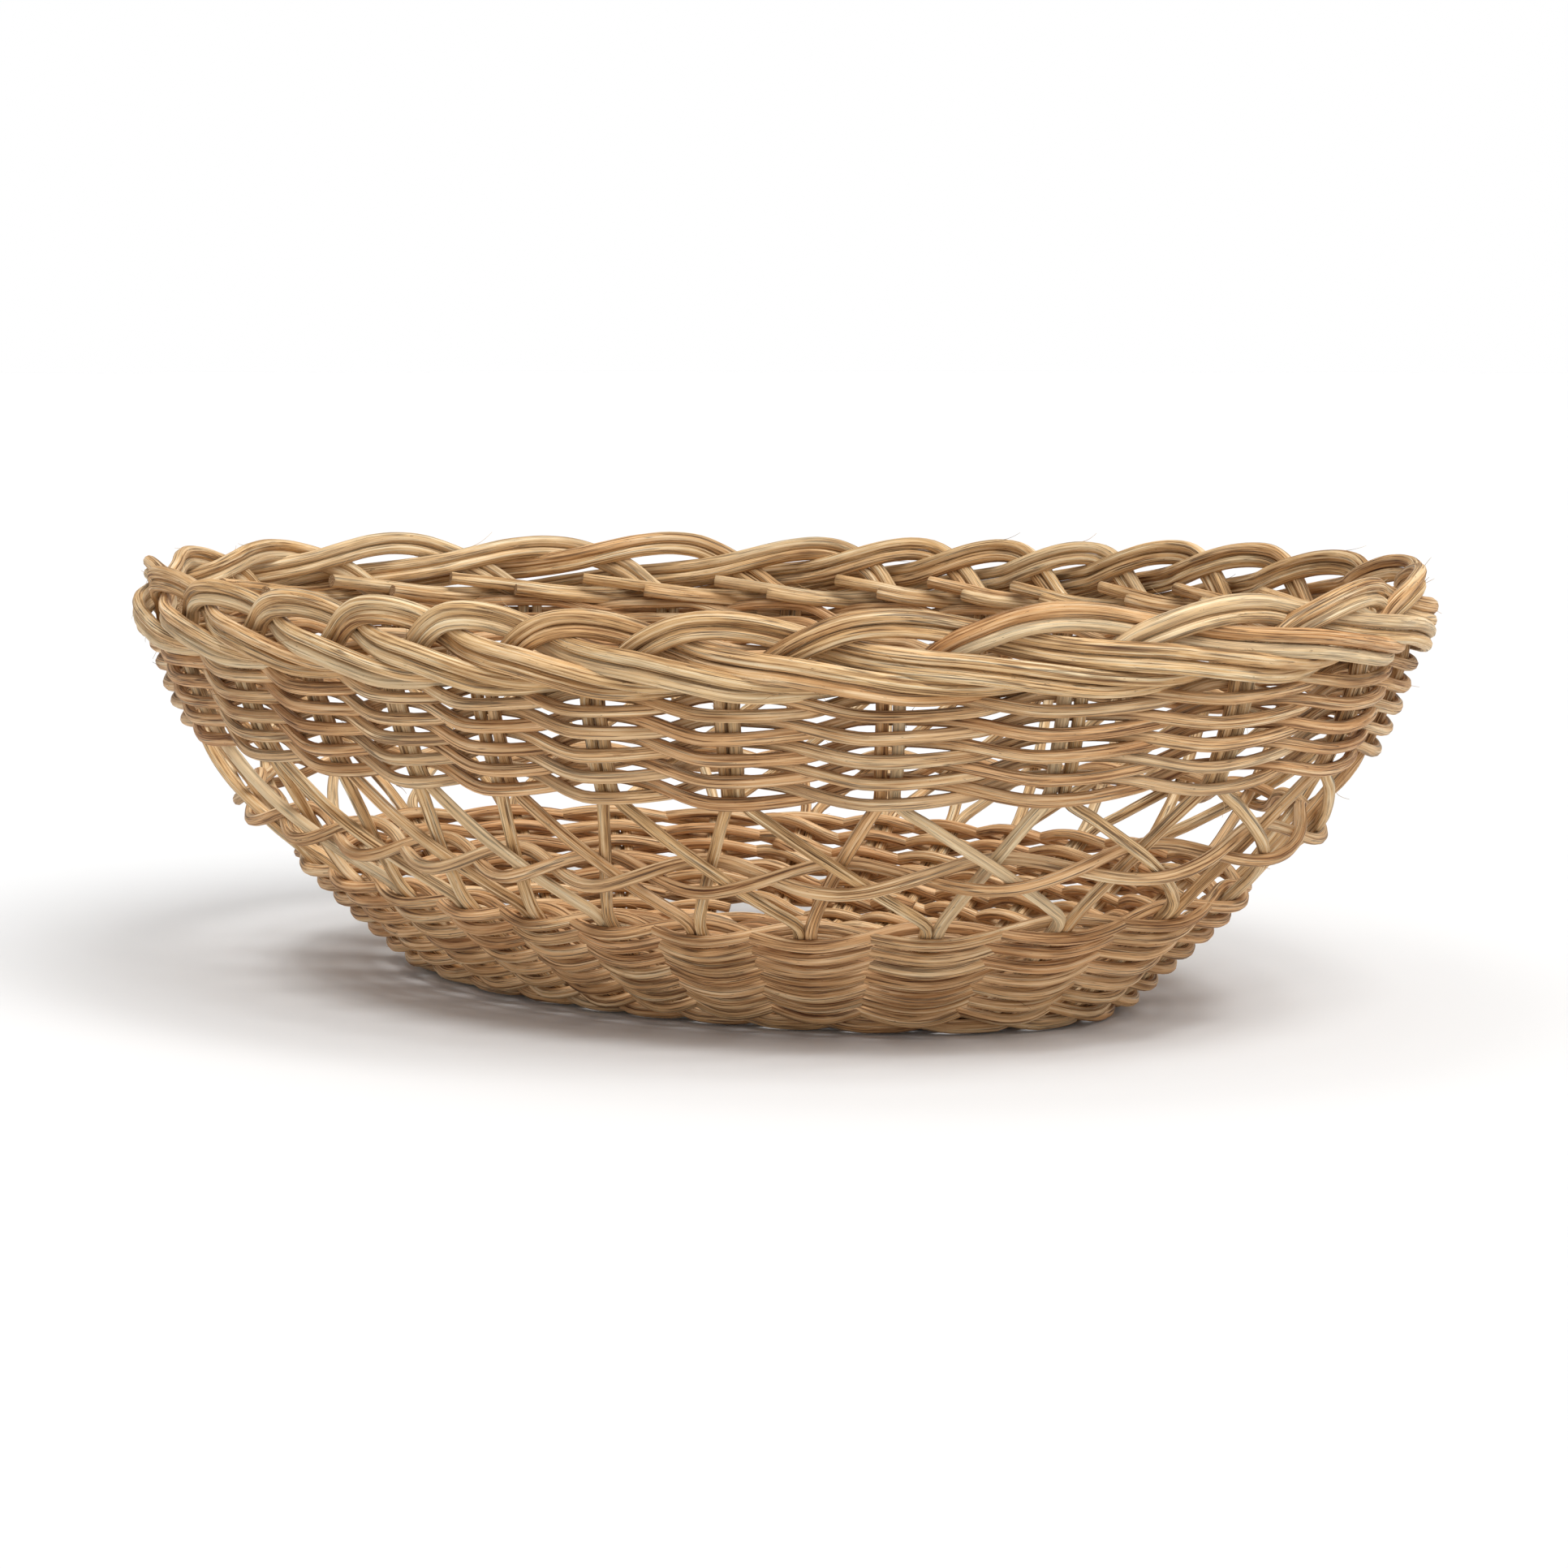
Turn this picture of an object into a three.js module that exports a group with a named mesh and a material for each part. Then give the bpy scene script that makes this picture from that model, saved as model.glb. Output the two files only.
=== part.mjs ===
// An oval bread basket woven from round reed: a woven bottom, 26 pairs of side stakes, two woven bands with a
// single woven row in the open stretch between them, and a rolled border. Millimetres, +Z up, the long axis
// along X, and the origin on the table under the middle of the bottom.

import * as THREE from "three";
import { ParametricGeometry } from "three/addons/geometries/ParametricGeometry.js";

// Driving dimensions. Every half-length and half-width is that of the wall's mid-surface, where the stakes lie.
const FOOT_HALF_LENGTH = 94;
const RIM_HALF_LENGTH = 165;
const LENGTH_OVER_WIDTH = { foot: 42, rim: 34 }; // half-length less half-width
const RIM_HEIGHT = 104; // where the wall would stand upright
const FLARE_POWER = 2.1; // how quickly the flare straightens towards the rim
const REED = 2.8; // diameter of the round reed
const GAP = 0.6; // clearance between neighbouring layers of reed
const STAKE_PAIRS = 26;

// Heights of the wall's stretches, measured on the mid-surface.
const LOWER_BAND = { bottom: 4.5, top: 31, rows: 7 };
const UPPER_BAND = { bottom: 63.5, top: 86.6, rows: 5 };
const CROSSING_HEIGHT = 45.5;
const BORDER = { bottom: 88, valley: 100, peak: 106, halfWidth: 7 };

// Stakes stand wider apart round the ends of the oval than along its sides.
const END_SPREAD = 0.17;
// Places along the wall, in stake spacings, of an upright and of its slant at the two bands.
const LOWER_PLACE = { upright: 0.45, slant: 2.45 };
const UPPER_PLACE = { upright: 1, slant: 1 };
const BORDER_PEAK_PLACE = 0.95;
const PAIR_HALF_SPACING = (REED + GAP) / 2;

// Offsets from the mid-surface of the layers of reed in front of the stakes and behind them.
const LAYER = { near: REED / 2 + GAP, far: REED / 2 + GAP + REED };
const CROSSING_OFFSET = (REED + GAP) / 2;
const ROW_GROOVE = 0.9; // depth of the groove between two rows

const BASE = { thickness: 6, chamfer: 1.8, halfLength: 97 };

const STEPS_ROUND = 2 * STAKE_PAIRS;
const BORDER_STEPS_ROUND = 4 * STAKE_PAIRS;
const STAKE_STEPS = 8;
const REED_SIDES = 6;
const BORDER_SIDES = 8;

const COLOUR = { stake: 0xb98f62, weaver: 0xb0875b, border: 0xbe9568, base: 0x9a7350 };

function reedMaterial(colour) {
  return new THREE.MeshStandardMaterial({ color: colour, roughness: 0.55, metalness: 0 });
}

// The oval's parameter angle at a place counted in stake spacings from the +X end.
function angleAt(place) {
  const even = (2 * Math.PI * place) / STAKE_PAIRS;
  return even + END_SPREAD * Math.sin(2 * even);
}

function halfLengthAt(height) {
  const shortfall = Math.max(0, 1 - height / RIM_HEIGHT) ** FLARE_POWER;
  return RIM_HALF_LENGTH - (RIM_HALF_LENGTH - FOOT_HALF_LENGTH) * shortfall;
}

// Half-length less half-width, which shrinks evenly from the foot to the rim.
function lengthOverWidthAt(height) {
  const { foot, rim } = LENGTH_OVER_WIDTH;
  return THREE.MathUtils.lerp(foot, rim, height / RIM_HEIGHT);
}

// How far the wall leans out from upright, in radians.
function leanAt(height) {
  const left = Math.max(0, 1 - height / RIM_HEIGHT);
  const slope = ((RIM_HALF_LENGTH - FOOT_HALF_LENGTH) * FLARE_POWER * left ** (FLARE_POWER - 1)) / RIM_HEIGHT;
  return Math.atan(slope);
}

// A point at an offset outwards, square to the wall, from the mid-surface.
function wallPoint(angle, height, offset, target = new THREE.Vector3()) {
  const lean = leanAt(height);
  const halfLength = halfLengthAt(height) + offset * Math.cos(lean);
  const halfWidth = halfLength - lengthOverWidthAt(height);
  return target.set(
    halfLength * Math.cos(angle),
    halfWidth * Math.sin(angle),
    height - offset * Math.sin(lean),
  );
}

// A closed ring round the oval. sectionAt(round) gives the corners of its cross-section at that share of the way
// round, counted anticlockwise as seen with the outside of the basket on the right. Walking them backwards turns
// the faces outwards.
function ringGeometry(sectionAt, corners, stepsRound) {
  const place = (u, v, target) => {
    const round = v % 1;
    const [height, offset] = sectionAt(round).at(-Math.round(u * corners));
    wallPoint(angleAt(round * STAKE_PAIRS), height, offset, target);
  };
  return new ParametricGeometry(place, corners, stepsRound);
}

// A band of rows seen from one side: side is 1 for the layer outside the stakes and -1 for the one inside.
function bandGeometry(band, side) {
  const rowHeight = (band.top - band.bottom) / band.rows;
  const exposed = [];
  for (let half = 0; half <= 2 * band.rows; half += 1) {
    const isCrest = half % 2 === 1;
    const offset = isCrest ? LAYER.far : LAYER.far - ROW_GROOVE;
    exposed.push([band.bottom + (half * rowHeight) / 2, side * offset]);
  }
  const backSteps = Math.ceil(band.rows / 2);
  const hidden = [];
  for (let step = backSteps; step >= 0; step -= 1) {
    const height = band.bottom + ((band.top - band.bottom) * step) / backSteps;
    hidden.push([height, side * LAYER.near]);
  }
  const section = [...exposed, ...hidden];
  if (side < 0) section.reverse();
  return ringGeometry(() => section, section.length, STEPS_ROUND);
}

// One strand of round reed along the openwork, outside the crossings of the stakes or inside them.
function crossingRowGeometry(side) {
  const centre = side * (CROSSING_OFFSET + REED + GAP);
  const section = [];
  for (let corner = 0; corner < REED_SIDES; corner += 1) {
    const turn = (2 * Math.PI * corner) / REED_SIDES;
    const height = CROSSING_HEIGHT + (REED / 2) * Math.sin(turn);
    section.push([height, centre + (REED / 2) * Math.cos(turn)]);
  }
  return ringGeometry(() => section, REED_SIDES, STEPS_ROUND);
}

// The rolled border, whose top rises and falls once for each pair of stakes laid over it.
function borderGeometry() {
  const sectionAt = (round) => {
    const wave = Math.cos(2 * Math.PI * (round * STAKE_PAIRS - BORDER_PEAK_PLACE));
    const top = BORDER.valley + ((BORDER.peak - BORDER.valley) * (1 + wave)) / 2;
    const middle = (top + BORDER.bottom) / 2;
    const section = [];
    for (let corner = 0; corner < BORDER_SIDES; corner += 1) {
      const turn = (2 * Math.PI * corner) / BORDER_SIDES;
      section.push([middle + (top - middle) * Math.sin(turn), BORDER.halfWidth * Math.cos(turn)]);
    }
    return section;
  };
  return ringGeometry(sectionAt, BORDER_SIDES, BORDER_STEPS_ROUND);
}

// A side stake's centre line, from the bottom of the lower band to the underside of the border.
class StakeCurve extends THREE.Curve {
  // kind is "upright" or "slant"; lowerSide and upperSide say on which side of its pair the rod lies in each band.
  constructor(pair, kind, lowerSide, upperSide, outward) {
    super();
    Object.assign(this, { pair, kind, lowerSide, upperSide, outward });
  }

  getPoint(t, target = new THREE.Vector3()) {
    const start = LOWER_BAND.bottom;
    const height = start + (BORDER.bottom - GAP - start) * t;
    const open = THREE.MathUtils.clamp(
      (height - LOWER_BAND.top) / (UPPER_BAND.bottom - LOWER_BAND.top),
      0,
      1,
    );
    const lower = this.pair + LOWER_PLACE[this.kind];
    const upper = this.pair + UPPER_PLACE[this.kind];
    const angle = angleAt(THREE.MathUtils.lerp(lower, upper, open));
    const halfLength = halfLengthAt(height);
    const halfWidth = halfLength - lengthOverWidthAt(height);
    const reach = Math.hypot(halfLength * Math.sin(angle), halfWidth * Math.cos(angle));
    const side = THREE.MathUtils.lerp(this.lowerSide, this.upperSide, open);
    const offset = this.outward * CROSSING_OFFSET * Math.sin(Math.PI * open);
    return wallPoint(angle + (side * PAIR_HALF_SPACING) / reach, height, offset, target);
  }
}

function stakeGeometry(curve) {
  const section = new THREE.Shape().absarc(0, 0, REED / 2, 0, 2 * Math.PI);
  return new THREE.ExtrudeGeometry(section, {
    steps: STAKE_STEPS,
    extrudePath: curve,
    curveSegments: REED_SIDES / 2,
  });
}

// The woven bottom, a flat oval plate with rounded edges that stands on the table.
function baseGeometry() {
  const shape = new THREE.Shape();
  const halfLength = BASE.halfLength - BASE.chamfer;
  shape.absellipse(0, 0, halfLength, halfLength - LENGTH_OVER_WIDTH.foot, 0, 2 * Math.PI);
  const geometry = new THREE.ExtrudeGeometry(shape, {
    depth: BASE.thickness - 2 * BASE.chamfer,
    bevelThickness: BASE.chamfer,
    bevelSize: BASE.chamfer,
    bevelSegments: 1,
    curveSegments: STEPS_ROUND / 2,
  });
  return geometry.translate(0, 0, BASE.chamfer);
}

const basket = new THREE.Group();

function addPiece(name, geometry, colour) {
  const piece = new THREE.Mesh(geometry, reedMaterial(colour));
  piece.name = name;
  basket.add(piece);
}

addPiece("woven_base", baseGeometry(), COLOUR.base);
addPiece("lower_band_outer_weave", bandGeometry(LOWER_BAND, 1), COLOUR.weaver);
addPiece("lower_band_inner_weave", bandGeometry(LOWER_BAND, -1), COLOUR.weaver);
addPiece("crossing_row_outer_strand", crossingRowGeometry(1), COLOUR.weaver);
addPiece("crossing_row_inner_strand", crossingRowGeometry(-1), COLOUR.weaver);
addPiece("upper_band_outer_weave", bandGeometry(UPPER_BAND, 1), COLOUR.weaver);
addPiece("upper_band_inner_weave", bandGeometry(UPPER_BAND, -1), COLOUR.weaver);
addPiece("rolled_border", borderGeometry(), COLOUR.border);

for (let pair = 0; pair < STAKE_PAIRS; pair += 1) {
  const number = String(pair + 1).padStart(2, "0");
  const upright = new StakeCurve(pair, "upright", 1, -1, -1);
  const slant = new StakeCurve(pair, "slant", -1, 1, 1);
  addPiece(`upright_stake_${number}`, stakeGeometry(upright), COLOUR.stake);
  addPiece(`slanting_stake_${number}`, stakeGeometry(slant), COLOUR.stake);
}

export default basket;
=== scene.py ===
"""An oval bread basket woven from peeled round reed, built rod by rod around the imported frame.

The basket stands on z = 0 with its long axis along X. Sizes in this script are in millimetres until they
become mesh vertices. A "place" is a position round the wall, counted in stake spacings anticlockwise as seen
from above, and place k is where stake pair k meets the border.
"""

import math

import bpy
import numpy as np
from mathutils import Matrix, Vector


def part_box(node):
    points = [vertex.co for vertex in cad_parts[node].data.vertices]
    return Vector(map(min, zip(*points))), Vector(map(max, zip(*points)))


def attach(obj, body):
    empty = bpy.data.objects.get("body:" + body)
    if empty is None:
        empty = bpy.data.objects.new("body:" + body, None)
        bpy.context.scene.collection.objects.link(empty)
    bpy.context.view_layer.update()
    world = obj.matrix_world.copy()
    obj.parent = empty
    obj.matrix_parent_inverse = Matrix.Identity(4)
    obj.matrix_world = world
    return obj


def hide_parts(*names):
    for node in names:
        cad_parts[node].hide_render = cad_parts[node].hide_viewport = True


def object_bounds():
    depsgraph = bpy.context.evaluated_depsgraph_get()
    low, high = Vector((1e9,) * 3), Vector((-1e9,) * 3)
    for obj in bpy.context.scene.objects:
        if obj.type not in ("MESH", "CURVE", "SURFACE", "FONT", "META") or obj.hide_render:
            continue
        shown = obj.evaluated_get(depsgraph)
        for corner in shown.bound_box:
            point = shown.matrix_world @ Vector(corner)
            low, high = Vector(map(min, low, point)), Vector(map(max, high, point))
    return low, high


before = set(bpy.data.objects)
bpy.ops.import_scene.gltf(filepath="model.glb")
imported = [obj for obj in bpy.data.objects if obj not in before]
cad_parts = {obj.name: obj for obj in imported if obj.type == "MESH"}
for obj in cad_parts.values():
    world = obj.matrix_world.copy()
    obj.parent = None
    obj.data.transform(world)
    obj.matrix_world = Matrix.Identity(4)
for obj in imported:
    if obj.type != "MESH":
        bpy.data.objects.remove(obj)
CAD_BOUNDS = [list(corner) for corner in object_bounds()]

MM = 0.001
SEED = 26

# Where the camera stands, in degrees and in lengths of the basket, and what it looks at, in shares of the
# basket's size.
CAMERA = {"azimuth": 34.5, "elevation": 7.15, "distance": 2.815, "lens_mm": 89.1}
TARGET_SHARE = (0.0128, 0.0065, 0.47)

REED = {"stake": 1.47, "border": 1.68, "weaver": 1.52, "base": 1.3}  # radii
STEP = 2.2  # length of one segment of a swept reed
SIDES = 10
FIBRE = {"radius": 0.09, "length": (2.5, 8), "lift": (0.1, 0.45), "curl": 0.6}
FIBRE_COUNT = {"stake": 7, "crossing_row": 12}
SAMPLES_PER_FIBRE = 90  # of a weaver's path

# How uneven a reed is: out of round in two ways, in shares of its radius, and then thicker and thinner, and
# redder and paler, over about how many millimetres along it and how much.
UNEVEN = {"oval": 0.05, "three_sided": 0.025, "thickness": (31, 0.035), "tone": (140, 0.5)}

# How the wall is measured off the CAD nodes.
BORDER_HALF_WIDTH = 7
BORDER_OVER_RIM = 2  # from where the wall would stand upright to the border's top
BASE_OVERHANG = 3
FLARE_POWER = 2.1

# How a handmade wall strays from the true oval.
WAVE = (1.3, 1.2)  # rise and fall of the rows, as the cosine and sine of twice the angle
WAVE_FADE = 12  # height over which that sets in above the bottom
RIM_TILT = 1.5  # rise of the border at the +X end, and fall at the other
FOOT_SHIFT = (-2.6, -0.8)  # of the foot under the border
END_TUCK = 2.6  # how far both ends are drawn in, half-way up to the crossing row

# Where the random numbers of each kind of piece start, and those that both rods of a pair share.
SEEDS = {
    "upright": 0,
    "slant": 100,
    "upper_band": 200,
    "lower_band": 300,
    "crossing_row": 400,
    "foot_wale": 420,
    "base_sticks": 500,
    "base_weave": 540,
    "pair": 900,
}


# ---- The wall, measured off the frame ----


def box_mm(node):
    low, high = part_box(node)
    return np.array(low) / MM, np.array(high) / MM


def band_heights(name):
    """The bottom and top of a woven band on the wall's mid-surface."""
    outer = box_mm(f"{name}_outer_weave")
    inner = box_mm(f"{name}_inner_weave")
    return (outer[0][2] + inner[0][2]) / 2, (outer[1][2] + inner[1][2]) / 2


BORDER_TOP = box_mm("rolled_border")[1]
BASE_TOP = box_mm("woven_base")[1]
RIM_HEIGHT = BORDER_TOP[2] - BORDER_OVER_RIM
RIM_HALF_LENGTH = BORDER_TOP[0] - BORDER_HALF_WIDTH
FOOT_HALF_LENGTH = BASE_TOP[0] - BASE_OVERHANG
LENGTH_OVER_WIDTH = (BASE_TOP[0] - BASE_TOP[1], BORDER_TOP[0] - BORDER_TOP[1])  # at the foot and at the rim
RIM_HALF_WIDTH = RIM_HALF_LENGTH - LENGTH_OVER_WIDTH[1]
FOOT_HALF_WIDTH = FOOT_HALF_LENGTH - LENGTH_OVER_WIDTH[0]
LOWER_BOTTOM, LOWER_TOP = band_heights("lower_band")
UPPER_BOTTOM, UPPER_TOP = band_heights("upper_band")
CROSSING_HEIGHT = (
    box_mm("crossing_row_outer_strand")[0][2] + box_mm("crossing_row_inner_strand")[1][2]
) / 2


def shortfall(height):
    return np.clip(1 - np.asarray(height, float) / RIM_HEIGHT, 0, None)


def half_sizes(height):
    """The mid-surface's half-length and half-width at a height."""
    share = shortfall(height) ** FLARE_POWER
    half_length = RIM_HALF_LENGTH - (RIM_HALF_LENGTH - FOOT_HALF_LENGTH) * share
    foot, rim = LENGTH_OVER_WIDTH
    return half_length, half_length - foot - (rim - foot) * np.asarray(height) / RIM_HEIGHT


def lean_at(height):
    """How far the wall leans out from upright, in radians."""
    reach = (RIM_HALF_LENGTH - FOOT_HALF_LENGTH) * FLARE_POWER / RIM_HEIGHT
    return np.arctan(reach * shortfall(height) ** (FLARE_POWER - 1))


def vertices_mm(node):
    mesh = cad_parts[node].data
    points = np.empty(len(mesh.vertices) * 3)
    mesh.vertices.foreach_get("co", points)
    return points.reshape(-1, 3) / MM


def end_angle(node, side):
    """The angle round the oval of a CAD stake's upper end (side 1) or lower end (side -1)."""
    points = vertices_mm(node)
    edge = (points[:, 2] * side).max()
    end = points[points[:, 2] * side > edge - 1].mean(axis=0)
    half_length, half_width = half_sizes(end[2])
    return math.atan2(end[1] / half_width, end[0] / half_length)


UPRIGHTS = sorted(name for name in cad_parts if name.startswith("upright_stake_"))
SLANTS = sorted(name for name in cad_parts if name.startswith("slanting_stake_"))
PAIRS = len(UPRIGHTS)


def pair_angles():
    """The angles of places 0 to PAIRS, half-way between the upper ends of each pair."""
    upright = np.unwrap([end_angle(name, 1) for name in UPRIGHTS])
    slant = np.unwrap([end_angle(name, 1) for name in SLANTS])
    slant += 2 * math.pi * round((upright[0] - slant[0]) / (2 * math.pi))
    angles = (upright + slant) / 2
    return np.append(angles, angles[0] + 2 * math.pi)


PLACE_ANGLES = pair_angles()


def angle_at(place):
    place = np.asarray(place, float)
    turns = np.floor(place / PAIRS)
    within = np.interp(place - turns * PAIRS, np.arange(PAIRS + 1), PLACE_ANGLES)
    return within + 2 * math.pi * turns


def lower_shift(nodes, nearest):
    """How many places a stake's lower end lies from its upper end. nearest picks the turn."""
    shifts = []
    for index, name in enumerate(nodes):
        angle = end_angle(name, -1)
        target = angle_at(index + nearest)
        angle += 2 * math.pi * round((target - angle) / (2 * math.pi))
        places = np.linspace(index + nearest - 1.5, index + nearest + 1.5, 61)
        shifts.append(np.interp(angle, angle_at(places), places) - index)
    return float(np.mean(shifts))


SLANT_REACH = 2  # a slant's lower end lies this many columns on from the lower end of its pair's upright
COLUMN_SHIFT = (lower_shift(UPRIGHTS, -0.5) + lower_shift(SLANTS, 1.5) - SLANT_REACH) / 2


def wall_section(height, offset=0.0, rise=0.0):
    """Half-length, half-width and z of a point offset outwards from the mid-surface and then up along it."""
    lean = lean_at(height)
    half_length, half_width = half_sizes(height)
    outwards = offset * np.cos(lean) + rise * np.sin(lean)
    up = rise * np.cos(lean) - offset * np.sin(lean)
    return half_length + outwards, half_width + outwards, height + up


def round_oval(place, half_length, half_width, z):
    """Points round the oval, with the gentle rise and fall of a handmade wall."""
    angle = angle_at(place)
    share = np.clip(z / RIM_HEIGHT, 0, 1)
    raised = 1 - np.exp(-np.clip(z - BASE_TOP[2], 0, None) / WAVE_FADE)
    wave = WAVE[0] * np.cos(2 * angle) + WAVE[1] * np.sin(2 * angle)
    tilt = RIM_TILT * share**3 * np.cos(angle)
    tuck = END_TUCK * np.sin(math.pi * np.clip(z / CROSSING_HEIGHT, 0, 1)) * np.cos(angle)
    x = half_length * np.cos(angle) + FOOT_SHIFT[0] * (1 - share) - tuck
    y = half_width * np.sin(angle) + FOOT_SHIFT[1] * (1 - share)
    return np.stack([x, y, z + raised * wave + tilt], axis=-1)


def on_wall(place, height, offset=0.0, rise=0.0):
    place, height, offset, rise = np.broadcast_arrays(place, height, offset, rise)
    return round_oval(place, *wall_section(height, offset, rise))


# ---- Curves ----


def smooth_step(share):
    share = np.clip(share, 0, 1)
    return share * share * (3 - 2 * share)


def through(knots, step=STEP):
    """A smooth curve through rows of coordinates, sampled about every step of its length."""
    knots = np.asarray(knots, float)
    chords = np.linalg.norm(np.diff(knots, axis=0), axis=1)
    at = np.concatenate([[0], np.cumsum(chords)])
    slopes = np.gradient(knots, at, axis=0)
    samples = np.linspace(0, at[-1], max(4, int(at[-1] / step) + 2))
    index = np.clip(np.searchsorted(at, samples, side="right") - 1, 0, len(at) - 2)
    span = (at[index + 1] - at[index])[:, None]
    t = (samples - at[index])[:, None] / span
    start = (1 + 2 * t) * (1 - t) ** 2 * knots[index] + t * (1 - t) ** 2 * span * slopes[index]
    end = t * t * (3 - 2 * t) * knots[index + 1] + t * t * (t - 1) * span * slopes[index + 1]
    return start + end


def even_steps(points, step=STEP):
    """The same path in segments of equal length."""
    lengths = np.linalg.norm(np.diff(points, axis=0), axis=1)
    at = np.concatenate([[0], np.cumsum(lengths)])
    samples = np.linspace(0, at[-1], max(3, int(round(at[-1] / step)) + 1))
    return np.stack([np.interp(samples, at, points[:, axis]) for axis in range(3)], axis=-1)


def slow_noise(samples, rng, wavelength, size):
    """A smooth random wander along a path: a few sine waves with random phases."""
    total = np.zeros(len(samples))
    for octave in range(3):
        phase = rng.uniform(0, 2 * math.pi)
        stretch = rng.uniform(0.8, 1.25) / 1.7**octave
        total += np.sin(2 * math.pi * samples / (wavelength * stretch) + phase) / 1.5**octave
    return total * size / 1.6


# ---- Swept reeds ----


def frames_along(points):
    """A pair of normals at each point of a path, turning as little as they can."""
    tangents = np.gradient(points, axis=0)
    tangents /= np.linalg.norm(tangents, axis=1)[:, None]
    first = np.cross(tangents[0], (0.3, 0.2, 0.93))
    normals = [first / np.linalg.norm(first)]
    for tangent in tangents[1:]:
        normal = normals[-1] - tangent * np.dot(normals[-1], tangent)
        normals.append(normal / np.linalg.norm(normal))
    normals = np.array(normals)
    return normals, np.cross(tangents, normals)


def sweep_reed(points, radii, rng, sides):
    """Vertices, faces and rod coordinates of one reed, whose section is a little out of round."""
    normals, binormals = frames_along(points)
    lengths = np.concatenate([[0], np.cumsum(np.linalg.norm(np.diff(points, axis=0), axis=1))])
    turns = 2 * math.pi * np.arange(sides) / sides
    oval = 1 + UNEVEN["oval"] * np.cos(2 * turns + rng.uniform(0, 6))
    oval += UNEVEN["three_sided"] * np.cos(3 * turns + rng.uniform(0, 6))
    thick = radii * (1 + slow_noise(lengths, rng, *UNEVEN["thickness"]))
    across = thick[:, None] * oval * np.cos(turns)
    beside = thick[:, None] * oval * np.sin(turns)
    rings = points[:, None] + across[..., None] * normals[:, None] + beside[..., None] * binormals[:, None]
    rod = np.stack([np.broadcast_to(lengths[:, None], across.shape), across, beside], axis=-1)
    ring, side = np.meshgrid(np.arange(len(points) - 1), np.arange(sides), indexing="ij")
    here = ring * sides + side
    after = ring * sides + (side + 1) % sides
    faces = np.stack([here, after, after + sides, here + sides], axis=-1)
    return rings.reshape(-1, 3), faces.reshape(-1, 4), rod.reshape(-1, 3), lengths


class Piece:
    """One mesh of one or more reeds, with both ends of each reed cut off flat."""

    def __init__(self, name, seed):
        self.name = name
        self.rng = np.random.default_rng([SEED, seed])
        self.vertices, self.faces, self.rods, self.tones, self.caps = [], [], [], [], []
        self.count = 0

    def add(self, points, radius, sides=SIDES, step=STEP):
        """Adds a reed along a path. A list of radii is spread evenly over its length."""
        points = even_steps(points, step)
        radii = np.atleast_1d(radius)
        radii = np.interp(np.linspace(0, 1, len(points)), np.linspace(0, 1, len(radii)), radii)
        vertices, faces, rod, lengths = sweep_reed(points, radii, self.rng, sides)
        tone = self.rng.normal(0, 1) + slow_noise(lengths, self.rng, *UNEVEN["tone"])
        last = len(vertices) - sides
        self.caps.append(self.count + np.arange(sides)[::-1])
        self.caps.append(self.count + last + np.arange(sides))
        self.vertices.append(vertices)
        self.faces.append(faces + self.count)
        self.rods.append(rod + self.rng.uniform(-500, 500, 3))
        self.tones.append(np.repeat(tone, sides))
        self.count += len(vertices)

    def add_fibres(self, points, radius, count):
        """Adds fine fibres that have lifted off a reed and curl away from it."""
        points = even_steps(points)
        tangents = np.gradient(points, axis=0)
        for start in self.rng.integers(2, len(points) - 2, count):
            along = tangents[start] / np.linalg.norm(tangents[start]) * self.rng.choice((-1, 1))
            away = np.cross(along, self.rng.normal(0, 1, 3))
            away /= np.linalg.norm(away)
            curl = np.cross(along, away) * self.rng.uniform(-FIBRE["curl"], FIBRE["curl"])
            length = self.rng.uniform(*FIBRE["length"])
            share = np.linspace(0, 1, 7)[:, None]
            lift = radius * 0.9 + length * self.rng.uniform(*FIBRE["lift"]) * share**2
            path = points[start] + along * length * share + away * lift + curl * length * share**2 * 0.4
            self.add(path, [FIBRE["radius"], FIBRE["radius"] / 2], sides=3, step=length / 6)

    def build(self, nodes, materials):
        mesh = bpy.data.meshes.new(self.name)
        quads = np.concatenate(self.faces)
        faces = quads.tolist() + [cap.tolist() for cap in self.caps]
        mesh.from_pydata((np.concatenate(self.vertices) * MM).tolist(), [], faces)
        rods = mesh.attributes.new("rod", "FLOAT_VECTOR", "POINT")
        rods.data.foreach_set("vector", np.concatenate(self.rods).ravel())
        tones = mesh.attributes.new("tone", "FLOAT", "POINT")
        tones.data.foreach_set("value", np.concatenate(self.tones))
        for material in materials:
            mesh.materials.append(material)
        is_cap = np.arange(len(faces)) >= len(quads)
        mesh.polygons.foreach_set("use_smooth", ~is_cap)
        mesh.polygons.foreach_set("material_index", is_cap.astype(np.int32))
        mesh.update()
        piece = bpy.data.objects.new(self.name, mesh)
        bpy.context.scene.collection.objects.link(piece)
        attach(piece, "root")
        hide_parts(*nodes)


# ---- Materials ----


def srgb(red, green, blue):
    """A colour given as 8-bit sRGB, as the linear colour that shaders take."""
    channels = []
    for value in (red / 255, green / 255, blue / 255):
        channels.append(value / 12.92 if value <= 0.04045 else ((value + 0.055) / 1.055) ** 2.4)
    return (*channels, 1.0)


def grey(value):
    return (value, value, value, 1.0)


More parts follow.
